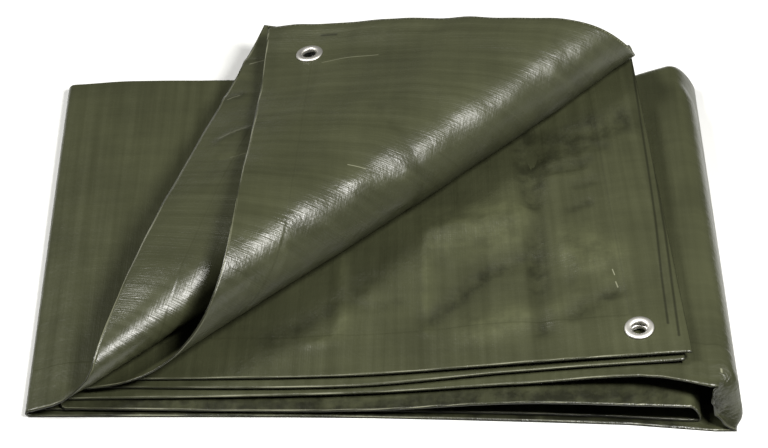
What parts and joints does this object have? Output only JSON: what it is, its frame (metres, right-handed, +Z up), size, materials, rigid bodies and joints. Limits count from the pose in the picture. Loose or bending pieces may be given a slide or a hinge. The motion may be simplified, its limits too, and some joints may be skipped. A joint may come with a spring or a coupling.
{
  "type": "folded tarpaulin",
  "caption": "Woven plastic tarpaulin folded into a flat bundle, its top layers turned back over a diagonal roll, with round metal eyelets in the corners.",
  "frame": {"origin": "middle of the bounding box at its bottom, on the surface that the bundle lies on", "axes": "+X along the bundle to the side of the loose right loop, +Y from the front edges to the fold at the back, +Z up"},
  "size_m": [0.5348, 0.4182, 0.1022],
  "materials": {
    "cloth": "semi-gloss coated weave of polyethylene tape",
    "eyelet": "satin"
  },
  "bodies": {
    "root": {"tarp": "cloth", "eyelet_flap": "eyelet", "eyelet_flap_hidden": "eyelet", "eyelet_corner": "eyelet", "eyelet_corner_hidden": "eyelet"}
  },
  "joints": []
}
